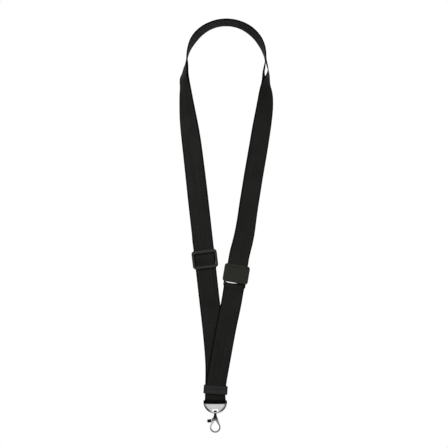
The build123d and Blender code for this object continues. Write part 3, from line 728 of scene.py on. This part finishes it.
# The long run: right leg's outer layer, neck, left leg, slider, hook bar, right leg, receptacle.
right_fixed, left_fixed = ripple(right_fixed, 0.8), ripple(left_fixed, 2.1)
shared = right_fixed[::-1] + over_neck[1:] + left_fixed[1:] + left_short[1:]
outer = shifted(shared + left_moving[1:] + left_rest[1:], LAYER_OFFSET)
outer = opened(outer, 1, *RIGHT_OUTER_BULGE)
for bulge in LEFT_OUTER_BULGES:
    outer = opened(outer, -1, *bulge)
outer = through_slider(outer)
hook_fold = crowded(fold(hook_fold_points(), bar_place), *HOOK_SLOT)
receptacle_fold = crowded(fold(receptacle_loop_points(), clip_place), *RECEPTACLE_SLOT)
lower = left_low[1:] + hook_fold[1:] + flipped(right_low[::-1], -1, -1)[1:] + receptacle_fold[1:]
long_run, long_length = tape("webbing_long_run", outer + lower, webbing_black, "strap")
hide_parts("webbing_arch_outer", "webbing_left_leg_outer", "webbing_left_through",
            "webbing_left_lower", "webbing_hook_fold", "webbing_right_lower", "webbing_right_leg_outer",
            "webbing_receptacle_loop")
loosen_receptacle_fold(long_run)

# The inner layer over the neck.
inner = opened(shifted(shared, -LAYER_OFFSET), 1, *RIGHT_INNER_BULGE)
inner_run, inner_length = tape("webbing_inner_run", inner, webbing_black, "strap")
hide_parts("webbing_arch_inner", "webbing_left_leg_inner", "webbing_right_leg_inner")

# The inner layer's end, down to the slider's centre bar and sewn back on itself.
slider_end = shifted(left_moving, -LAYER_OFFSET) + fold(slider_loop_points(), slider_place)[1:]
slider_run, slider_length = tape("webbing_slider_end", slider_end, webbing_black, None)
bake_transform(slider_run)
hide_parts("webbing_left_adjust", "webbing_slider_loop")

# Both layers meet in one fold round the plug's bar.
plug_end = shifted(flipped(right_moving, -1, 1), LAYER_OFFSET) + fold(plug_loop_points(), clip_place)[1:]
plug_end += shifted(flipped(right_moving[::-1], -1, -1), LAYER_OFFSET)[1:]
plug_run, plug_length = tape("webbing_plug_end", plug_end, webbing_black, None)
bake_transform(plug_run)
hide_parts("webbing_right_release_outer", "webbing_right_release_inner", "webbing_plug_loop")


# ---------------------------------------------------------------- stitching

STITCH_LENGTH = 2.0 * MM
STITCH_PITCH = 2.5 * MM
THREAD_RADIUS = 0.2 * MM


def add_stitch(build, start, end, up):
    """One stitch: a short round thread that dips into the webbing at both ends."""
    along = end - start
    side = along.normalized().cross(up)
    rows = 6
    sides = 6
    rings = []
    for k in range(rows + 1):
        t = k / rows
        swell = math.sin(math.pi * (0.12 + 0.76 * t))
        centre = start + along * t + up * (THREAD_RADIUS * (1.5 * swell - 0.9))
        radius = THREAD_RADIUS * (0.55 + 0.45 * swell)
        angles = [2 * math.pi * j / sides for j in range(sides)]
        around = [side * math.cos(a) + up * math.sin(a) for a in angles]
        rings.append([build.verts.new(centre + direction * radius) for direction in around])
    for near, far in zip(rings, rings[1:]):
        for j in range(sides):
            build.faces.new((near[j], near[(j + 1) % sides], far[(j + 1) % sides], far[j]))
    build.faces.new(rings[0][::-1])
    build.faces.new(rings[-1])


def stitch_rows(name, lines, place, face, outward, body, replaced):
    """Rows of stitches along (x, z) lines that lie on a face at depth y."""
    build = bmesh.new()
    turn = place.to_3x3()
    up = turn @ Vector((0, outward, 0))
    for (x0, z0), (x1, z1) in lines:
        start, end = Vector((x0, face, z0)), Vector((x1, face, z1))
        length = (end - start).length
        count = max(1, round(length / STITCH_PITCH))
        share = STITCH_LENGTH / STITCH_PITCH
        for k in range(count):
            low = start.lerp(end, (k + (1 - share) / 2) / count)
            high = start.lerp(end, (k + (1 + share) / 2) / count)
            add_stitch(build, place @ low, place @ high, up)
    bmesh.ops.recalc_face_normals(build, faces=build.faces)
    piece = add_piece(name, build, thread_black, body, 80.0)
    if replaced:
        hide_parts(replaced)


def box_and_cross(half_width, low, high):
    """The lines of a box stitch with its two diagonals."""
    corners = [(-half_width, low), (half_width, low), (half_width, high), (-half_width, high)]
    sides = list(zip(corners, corners[1:] + corners[:1]))
    return sides + [(corners[0], corners[2]), (corners[1], corners[3])]


stitch_rows("receptacle_stitching", box_and_cross(*RECEPTACLE_BOX), clip_place,
            -LAYER_OFFSET - WEB_THICK / 2, -1, "strap", "receptacle_box_stitch")
stitch_rows("slider_stitching", box_and_cross(*SLIDER_BOX), slider_place,
            2 * LAYER_OFFSET + WEB_THICK * 1.5 + LAYER_GAP, 1, "slider", "slider_box_stitch")


# ---------------------------------------------------------------- keeper

def keeper_stations():
    """Round the keeper's rounded outline, at the middle of its wall."""
    half_width = (KEEPER_OUTSIDE[0] - KEEPER_WALL) / 2
    half_depth = (KEEPER_OUTSIDE[1] - KEEPER_WALL) / 2
    corner = half_depth * 0.92
    outline = []
    for quarter, (side, depth) in enumerate(((1, 1), (-1, 1), (-1, -1), (1, -1))):
        centre = Vector((side * (half_width - corner), depth * (half_depth - corner), 0))
        for k in range(9):
            angle = math.pi / 2 * (quarter + k / 8)
            outline.append(centre + Vector((math.cos(angle), math.sin(angle), 0)) * corner)
    stations = []
    for before, point, after in zip(outline[-1:] + outline, outline, outline[1:] + outline[:1]):
        along = (after - before).normalized()
        stations.append((keeper_place @ point, keeper_up, keeper_turn @ Vector((along.y, -along.x, 0))))
    return stations


keeper_turn = keeper_place.to_3x3()
keeper_up = keeper_turn @ Vector((0, 0, 1))
keeper_back = KEEPER_OUTSIDE[1] / 2
keeper, _ = tape("keeper_loop", keeper_stations(), keeper_black, "keeper",
                 width=KEEPER_HEIGHT, thick=KEEPER_WALL, columns=8, endless=True)
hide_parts("keeper_band")

# Its end, lapped and sewn at the back.
lap_across = [x * MM for x in (-4.5, -2, 0, 2, 4.5)]
lap_places = [keeper_place @ Vector((x, keeper_back + LAP_THICK / 2, 0)) for x in lap_across]
lap_stations = [(place, keeper_up, keeper_turn @ Vector((0, 1, 0))) for place in lap_places]
lap, _ = tape("keeper_lap", lap_stations, keeper_black, "keeper",
              width=KEEPER_HEIGHT - LAP_NARROWER, thick=LAP_THICK)
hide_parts("keeper_overlap")
lap_rows = [((x, -LAP_STITCHES_HIGH), (x, LAP_STITCHES_HIGH)) for x in (-LAP_STITCHES_X, LAP_STITCHES_X)]
stitch_rows("keeper_stitching", lap_rows, keeper_place, keeper_back + LAP_THICK, 1, "keeper", None)


# ---------------------------------------------------------------- CAD parts kept

def finish_part(node, material, edge=0.0):
    """Gives a CAD part its material, and eases its sharp corners."""
    piece = nodes[node]
    piece.data.materials.clear()
    piece.data.materials.append(material)
    if edge:
        bevel = piece.modifiers.new("edge", "BEVEL")
        bevel.width = edge
        bevel.segments = 2
        bevel.limit_method = "ANGLE"
        bevel.angle_limit = math.radians(50)
        bevel.harden_normals = True


finish_part("slider_frame", slider_black, 0.12 * MM)
finish_part("breakaway_receptacle", clip_black, 0.12 * MM)
finish_part("breakaway_plug", clip_black, 0.12 * MM)
finish_part("half_moon_base", base_chrome, 0.25 * MM)
finish_part("hook_body", hook_chrome, 0.08 * MM)
finish_part("gate_lever", chrome, 0.12 * MM)
finish_part("swivel_post", hook_chrome)
finish_part("swivel_washer", hook_chrome)
finish_part("gate_pin", steel)
finish_part("gate_spring", steel)
finish_part("gate_knob", knob_black)


# ---------------------------------------------------------------- studio

FLOOR_HEIGHT = -1.4
FLOOR_RADIUS = 0.6
LAMPS_AIM = (0, 0, -0.25)
CAMERA_LENS = 59.3
CAMERA_DISTANCE = 0.9
CAMERA_OFFSET = (-2.7 * MM, 3.6 * MM)


def studio_floor():
    """A round pale floor below the hanging lanyard."""
    build = bmesh.new()
    bmesh.ops.create_circle(build, cap_ends=True, segments=96, radius=FLOOR_RADIUS)
    data = bpy.data.meshes.new("studio_floor")
    build.to_mesh(data)
    build.free()
    floor = bpy.data.objects.new("studio_floor", data)
    floor.location = (0, 0, FLOOR_HEIGHT)
    bpy.context.scene.collection.objects.link(floor)
    material, tn, links, shader = new_material("studio_white")
    grain = noise(tn, links, 30.0, 3.0)
    links.new(ramp(tn, links, grain, [(0.3, 0.93), (0.7, 0.96)]), shader.inputs["Base Color"])
    shader.inputs["Roughness"].default_value = 0.9
    shader.inputs["Specular IOR Level"].default_value = 0.1
    data.materials.append(material)


def studio_world():
    """A plain white backdrop, and a studio for the metal: bright panels ahead, behind, above and beside."""
    world = bpy.data.worlds.new("studio")
    bpy.context.scene.world = world
    world.use_nodes = True
    tn, links = world.node_tree.nodes, world.node_tree.links
    background = tn["Background"]
    split = tn.new("ShaderNodeSeparateXYZ")
    links.new(tn.new("ShaderNodeTexCoord").outputs["Generated"], split.inputs[0])
    facing = maths(tn, links, "ADD", maths(tn, links, "MULTIPLY", split.outputs["Y"], 0.5), 0.5)
    stops = [(0.02, 0.8), (0.045, 0.09), (0.15, 0.05), (0.6, 0.05), (0.8, 0.2), (0.9, 1.0)]
    depth = ramp(tn, links, facing, stops)
    rise = maths(tn, links, "MAXIMUM", split.outputs["Z"], 0.0)
    top = ramp(tn, links, rise, [(0.5, 0.0), (0.9, 0.4)])
    sideways = maths(tn, links, "ABSOLUTE", split.outputs["X"])
    panels = ramp(tn, links, sideways, [(0.86, 0.0), (0.93, 0.5)])
    room = mixed(tn, links, 1.0, mixed(tn, links, 1.0, depth, top, "LIGHTEN"), panels, "LIGHTEN")
    seen = tn.new("ShaderNodeLightPath").outputs["Is Camera Ray"]
    links.new(mixed(tn, links, seen, room, (1.0, 1.0, 1.0)), background.inputs["Color"])
    background.inputs["Strength"].default_value = 1.0


def area_light(name, place, size, power):
    """A soft lamp that lights the lanyard but isn't mirrored in its metal."""
    light = bpy.data.lights.new(name, "AREA")
    light.shape = "RECTANGLE"
    light.size, light.size_y = size
    light.energy = power
    lamp = bpy.data.objects.new(name, light)
    lamp.location = place
    lamp.rotation_euler = (Vector(LAMPS_AIM) - Vector(place)).to_track_quat("-Z", "Y").to_euler()
    lamp.visible_glossy = False
    bpy.context.scene.collection.objects.link(lamp)


def camera():
    """Level with the lanyard's middle, looking straight at its front."""
    low, high = (Vector(corner) for corner in cad_box)
    middle = (low.z + high.z) / 2
    data = bpy.data.cameras.new("camera")
    data.sensor_width = 36.0
    data.lens = CAMERA_LENS
    eye = bpy.data.objects.new("camera", data)
    eye.location = (CAMERA_OFFSET[0], -CAMERA_DISTANCE, middle + CAMERA_OFFSET[1])
    eye.rotation_euler = (math.pi / 2, 0, 0)
    bpy.context.scene.collection.objects.link(eye)
    bpy.context.scene.camera = eye


studio_floor()
studio_world()
area_light("key", (-0.4, -0.8, 0.55), (0.4, 0.4), 13.0)
area_light("fill", (0.75, -0.75, -0.1), (0.4, 0.6), 3.5)
camera()
bpy.context.scene.view_settings.view_transform = "Standard"
